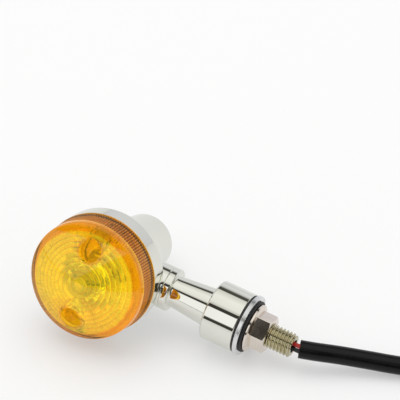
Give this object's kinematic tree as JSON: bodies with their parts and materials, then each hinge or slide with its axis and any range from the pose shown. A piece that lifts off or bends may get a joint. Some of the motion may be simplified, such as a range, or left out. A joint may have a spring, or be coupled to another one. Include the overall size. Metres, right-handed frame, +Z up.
{
  "type": "turn signal indicator",
  "caption": "Round bullet turn signal with a domed amber ribbed lens, chrome housing, swivelling chrome stem, hollow threaded stud with washers and flange nut, and a two-wire lead.",
  "frame": {"origin": "on the surface the lamp lies on, under the middle of its box without the lead", "axes": "+Z up, +X along the stem towards the stud as seen from above, -Y the way the lens faces, tilted up about 19 degrees as the lamp lies on its bowl edge, tail and mounting washer"},
  "size_m": [0.2578, 0.0939, 0.0534],
  "materials": {
    "chrome": "mirror-bright chrome plate on a zinc casting",
    "amber_plastic": "clear amber acrylic, moulded ribs and rings",
    "black_rubber": "smooth black rubber",
    "zinc_steel": "bright zinc-plated steel",
    "nickel_steel": "nickel-plated steel with a warm tint",
    "yellow_zinc": "yellow passivated zinc on steel",
    "reflector_plastic": "metallised plastic, bright",
    "clear_glass": "clear bulb glass",
    "tungsten": "bare wire",
    "brass": "plain brass",
    "phenolic_board": "brown insulating board",
    "spring_steel": "bare spring steel",
    "red_wire": "soft vinyl wire insulation",
    "black_wire": "soft vinyl wire insulation",
    "black_sleeve": "satin black vinyl sleeve",
    "clear_sleeve": "milky soft vinyl terminal sleeve"
  },
  "bodies": {
    "head": {"housing": "chrome", "lens_gasket": "black_rubber", "lens": "amber_plastic", "lens_screws": "zinc_steel", "reflector": "reflector_plastic", "bulb_glass": "clear_glass", "bulb_filament": "tungsten", "bulb_base": "brass", "socket_shell": "zinc_steel", "socket_insulator": "phenolic_board", "centre_contact": "brass", "contact_spring": "spring_steel", "head_wire_red": "red_wire", "head_wire_black": "black_wire"},
    "mount": {"stem": "chrome", "swivel_spring_washer": "spring_steel", "swivel_nut": "zinc_steel", "stud": "yellow_zinc", "inner_rubber_washer": "black_rubber", "stem_wire_red": "red_wire", "stem_wire_black": "black_wire", "cable_sleeve": "black_sleeve", "cable_coil": "black_sleeve", "tail_wire_red": "red_wire", "tail_wire_black": "black_wire", "bullet_terminals": "brass", "terminal_sleeves": "clear_sleeve"},
    "washers": {"steel_washer": "zinc_steel", "outer_rubber_washer": "black_rubber"},
    "nut": {"flange_nut": "nickel_steel"}
  },
  "joints": [
    {"name": "head_swivel", "type": "hinge", "parent": "mount", "child": "head", "pos_m": [-0.00454, -0.00011, 0.01805], "axis": [0.9899, 0, -0.1419], "range_deg": [-90, 90]},
    {"name": "washer_slide", "type": "slide", "parent": "mount", "child": "washers", "axis": [0.9899, 0, -0.1419], "range_m": [0, 0.01]},
    {"name": "nut_turn", "type": "hinge", "parent": "washers", "child": "nut", "pos_m": [0.03392, -0.00011, 0.01254], "axis": [0.9899, 0, -0.1419], "range_deg": [0, 2400]}
  ],
  "couplings": [
    {"joint": "washer_slide", "follows": "nut_turn", "m_per_rad": 0.00023873}
  ]
}
